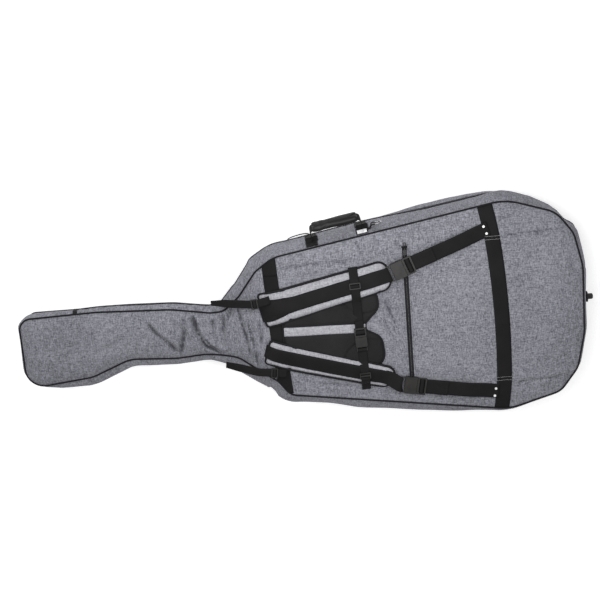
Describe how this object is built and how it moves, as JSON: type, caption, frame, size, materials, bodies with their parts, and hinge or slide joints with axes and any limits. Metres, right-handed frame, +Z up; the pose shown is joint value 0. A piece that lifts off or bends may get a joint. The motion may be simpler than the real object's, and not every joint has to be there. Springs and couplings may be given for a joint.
{
  "type": "double bass gig bag",
  "caption": "Padded gig bag for a three-quarter double bass, closed by a zipper round its gusset, with a backpack harness, side handle and grab loops.",
  "frame": {"origin": "on the front panel's outer face, which lies on the floor, at the body's centre line and the bag's mid-length", "axes": "+X along the bag from the head to the bottom end, +Y towards the side with the padded handle, +Z up out of the back panel"},
  "size_m": [1.999, 0.7982, 0.27],
  "materials": {
    "fabric_grey": "heather grey woven polyester, matt",
    "foam": "closed-cell foam, matt",
    "lining": "black nylon lining",
    "piping": "black corded piping",
    "zip_tape": "black zipper tape and nylon coil",
    "webbing": "black polypropylene webbing, ribbed",
    "mesh_black": "black padded fabric, matt",
    "border_grey": "light heather grey padded fabric",
    "vinyl": "black vinyl, soft gloss",
    "buckle_plastic": "black acetal, satin",
    "zip_metal": "black enamelled metal",
    "rivet_metal": "bright rivet, satin",
    "ring_metal": "dark nickel wire",
    "rubber": "black rubber, matt",
    "cord": "black braided cord"
  },
  "bodies": {
    "front_shell": {"front_panel": "fabric_grey", "front_panel_foam": "foam", "front_gusset_fabric": "fabric_grey", "front_gusset_foam": "foam", "front_lining": "lining", "front_and_neck_piping": "piping", "neck_hood_fabric": "fabric_grey", "neck_hood_foam": "foam", "neck_hood_lining": "lining", "zipper_front": "zip_tape", "zipper_neck_back": "zip_tape", "head_tab": "webbing", "grab_handle_a": "webbing", "grab_handle_b": "webbing"},
    "back_shell": {"back_panel": "fabric_grey", "back_panel_foam": "foam", "back_gusset_fabric": "fabric_grey", "back_gusset_foam": "foam", "back_lining": "lining", "back_piping": "piping", "zipper_back": "zip_tape", "upper_band": "webbing", "lower_band": "webbing", "back_cushion": "mesh_black", "cushion_strip": "border_grey", "rivets": "rivet_metal", "lifter_ladder_locks": "buckle_plastic", "chest_strap_a": "webbing", "chest_strap_b": "webbing", "chest_tri_glides": "buckle_plastic", "chest_buckle_female": "buckle_plastic", "pocket_zipper": "zip_tape", "handle_feet": "webbing", "ring_keeper": "webbing", "end_bumper": "rubber", "shoulder_pad_a": "border_grey", "shoulder_webbing_a": "webbing", "strap_strand_a": "webbing", "strap_buckle_female_a": "buckle_plastic", "lifter_strap_a": "webbing", "shoulder_pad_b": "border_grey", "shoulder_webbing_b": "webbing", "strap_strand_b": "webbing", "strap_buckle_female_b": "buckle_plastic", "lifter_strap_b": "webbing"},
    "chest_buckle_male": {"chest_buckle_male": "buckle_plastic", "chest_strap_tail": "webbing"},
    "pocket_slider": {"pocket_slider": "zip_metal"},
    "pocket_pull": {"pocket_pull_cord": "cord"},
    "side_handle": {"handle_webbing": "webbing", "handle_wrap": "vinyl"},
    "d_ring": {"d_ring": "ring_metal"},
    "strap_buckle_a": {"strap_buckle_male_a": "buckle_plastic", "strap_tail_a": "webbing"},
    "strap_buckle_b": {"strap_buckle_male_b": "buckle_plastic", "strap_tail_b": "webbing"},
    "main_slider_1": {"main_slider_1": "zip_metal"},
    "main_pull_1": {"main_pull_1": "zip_metal"},
    "main_slider_2": {"main_slider_2": "zip_metal"},
    "main_pull_2": {"main_pull_2": "zip_metal"}
  },
  "joints": [
    {"name": "back_fold", "type": "hinge", "parent": "front_shell", "child": "back_shell", "pos_m": [-0.315, 0, 0.15], "axis": [0, -1, 0], "range_deg": [0, 105]},
    {"name": "main_slider_1_slide", "type": "slide", "parent": "front_shell", "child": "main_slider_1", "axis": [-0.9861, 0.1661, 0], "range_m": [0, 0.26]},
    {"name": "main_slider_2_slide", "type": "slide", "parent": "front_shell", "child": "main_slider_2", "axis": [0.9861, -0.1661, 0], "range_m": [0, 0.31]},
    {"name": "main_pull_1_swing", "type": "hinge", "parent": "main_slider_1", "child": "main_pull_1", "pos_m": [0.25903, -0.34755, 0.09], "axis": [0, 0, 1], "range_deg": [0, 100]},
    {"name": "main_pull_2_swing", "type": "hinge", "parent": "main_slider_2", "child": "main_pull_2", "pos_m": [0.29256, -0.35319, 0.09], "axis": [0, 0, -1], "range_deg": [0, 100]},
    {"name": "strap_buckle_a_release", "type": "slide", "parent": "back_shell", "child": "strap_buckle_a", "axis": [0.9383, 0.3457, 0], "range_m": [0, 0.045]},
    {"name": "strap_buckle_b_release", "type": "slide", "parent": "back_shell", "child": "strap_buckle_b", "axis": [0.9818, -0.19, 0], "range_m": [0, 0.045]},
    {"name": "chest_buckle_release", "type": "slide", "parent": "back_shell", "child": "chest_buckle_male", "axis": [-0.0441, 0.999, 0], "range_m": [0, 0.034]},
    {"name": "pocket_slider_slide", "type": "slide", "parent": "back_shell", "child": "pocket_slider", "axis": [0, -1, 0], "range_m": [0, 0.39]},
    {"name": "pocket_pull_lift", "type": "hinge", "parent": "pocket_slider", "child": "pocket_pull", "pos_m": [0.36, 0.2338, 0.2412], "axis": [1, 0, 0], "range_deg": [0, 100]},
    {"name": "side_handle_swing", "type": "hinge", "parent": "back_shell", "child": "side_handle", "pos_m": [0.14294, 0.29837, 0.178], "axis": [0.9861, 0.1661, 0], "range_deg": [-80, 20]},
    {"name": "d_ring_swing", "type": "hinge", "parent": "back_shell", "child": "d_ring", "pos_m": [0.26933, 0.31864, 0.192], "axis": [0, 0, 1], "range_deg": [0, 100]}
  ]
}
